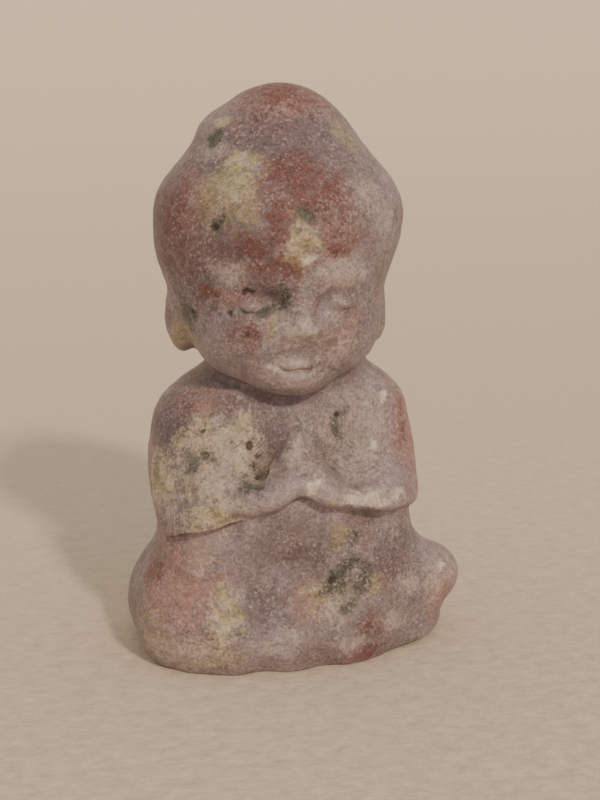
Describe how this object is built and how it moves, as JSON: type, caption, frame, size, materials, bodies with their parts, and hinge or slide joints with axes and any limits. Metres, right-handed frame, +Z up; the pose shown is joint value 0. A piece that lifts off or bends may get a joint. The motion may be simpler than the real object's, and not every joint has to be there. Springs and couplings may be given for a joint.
{
  "type": "seated buddha figurine",
  "caption": "Palm-sized seated figure carved from one mottled rose and lilac stone, hands joined at the chest, with a blunt topknot and a flat underside to stand on.",
  "frame": {"origin": "in the flat underside, below the middle of the head", "axes": "+Z up to the topknot; the figure faces -Y, and its right hand is on the -X side"},
  "size_m": [0.0363, 0.0252, 0.06],
  "materials": {
    "mottled_stone": "matte to waxy, tumbled"
  },
  "bodies": {
    "root": {"buddha_carving": "mottled_stone"}
  },
  "joints": []
}
